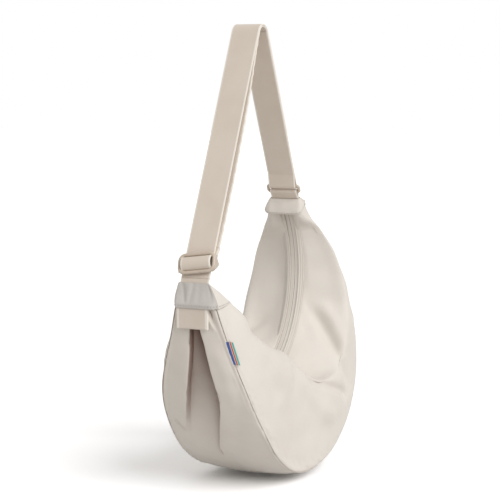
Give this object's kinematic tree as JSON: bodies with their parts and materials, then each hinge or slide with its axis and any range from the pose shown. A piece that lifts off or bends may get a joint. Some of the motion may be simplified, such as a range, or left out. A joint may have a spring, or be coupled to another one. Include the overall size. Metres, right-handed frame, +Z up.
{
  "type": "half moon crossbody bag",
  "caption": "Crescent-shaped soft fabric shoulder bag with an arched zip, a pleated side gusset, webbing tabs and a flat webbing strap adjusted by a tri-glide.",
  "frame": {"origin": "the point at the top of the strap's arch, on the underside of its inner layer, that rests on a hook or shoulder", "axes": "+Z up, +Y from the front panel to the back panel, +X from the near (tri-glide) end of the bag to the far (ring) end"},
  "size_m": [0.375, 0.1534, 0.5777],
  "materials": {
    "bone_nylon": "bone coloured plain-woven nylon, matte",
    "lining_taffeta": "plain beige taffeta lining",
    "beige_webbing": "warm beige flat webbing",
    "beige_acetal": "beige moulded plastic, satin",
    "zip_tape": "bone coloured woven zip tape",
    "zip_coil": "beige nylon coil",
    "painted_zinc": "beige painted zinc, satin",
    "woven_ribbon": "plain woven ribbon in muted colours"
  },
  "bodies": {
    "strap": {"strap_webbing": "beige_webbing", "strap_inner_layer": "beige_webbing"},
    "tri_glide": {"tri_glide": "beige_acetal", "strap_end_loop": "beige_webbing"},
    "far_ring": {"far_ring": "beige_acetal"},
    "bag": {"front_panel": "bone_nylon", "back_panel": "bone_nylon", "gusset_panel": "bone_nylon", "near_end_cap": "bone_nylon", "far_end_cap": "bone_nylon", "lining_front": "lining_taffeta", "lining_back": "lining_taffeta", "lining_gusset": "lining_taffeta", "inner_pocket": "lining_taffeta", "zip_tape_front": "zip_tape", "zip_tape_back": "zip_tape", "zip_coil_front": "zip_coil", "zip_coil_back": "zip_coil", "zip_stop_near": "painted_zinc", "zip_stop_far": "painted_zinc", "side_ribbon": "woven_ribbon", "strap_near_end": "beige_webbing", "far_ring_loop": "beige_webbing"},
    "zip_slider": {"zip_slider": "painted_zinc"},
    "zip_pull": {"zip_pull": "painted_zinc"},
    "near_tab": {"near_webbing_tab": "beige_webbing"},
    "far_tab": {"far_webbing_tab": "beige_webbing"}
  },
  "joints": [
    {"name": "bag_swing", "type": "hinge", "parent": "strap", "child": "bag", "pos_m": [-0.15621, 0, -0.30692], "axis": [0.9536, 0, 0.3011], "range_deg": [-105, 105], "deforming": ["near_end_cap", "far_end_cap", "strap_near_end", "far_ring_loop"]},
    {"name": "tri_glide_slide", "type": "slide", "parent": "strap", "child": "tri_glide", "axis": [0.4287, 0, 0.9035], "range_m": [0, 0.25], "deforming": ["strap_inner_layer"]},
    {"name": "ring_tilt", "type": "hinge", "parent": "strap", "child": "far_ring", "pos_m": [0.10312, 0, -0.20545], "axis": [0, 1, 0], "range_deg": [-20, 20], "deforming": ["far_ring_loop"]},
    {"name": "zip_slider_travel", "type": "hinge", "parent": "bag", "child": "zip_slider", "pos_m": [0.006, 0, -0.32], "axis": [0, -1, 0], "range_deg": [0, 184.7]},
    {"name": "zip_pull_flip", "type": "hinge", "parent": "zip_slider", "child": "zip_pull", "pos_m": [-0.12295, 0, -0.35716], "axis": [0, -1, 0], "range_deg": [0, 162]},
    {"name": "near_tab_lift", "type": "hinge", "parent": "bag", "child": "near_tab", "pos_m": [-0.16077, 0, -0.33321], "axis": [0, 1, 0], "range_deg": [0, 85]},
    {"name": "far_tab_lift", "type": "hinge", "parent": "bag", "child": "far_tab", "pos_m": [0.13157, 0, -0.24022], "axis": [0, -1, 0], "range_deg": [0, 85]}
  ]
}
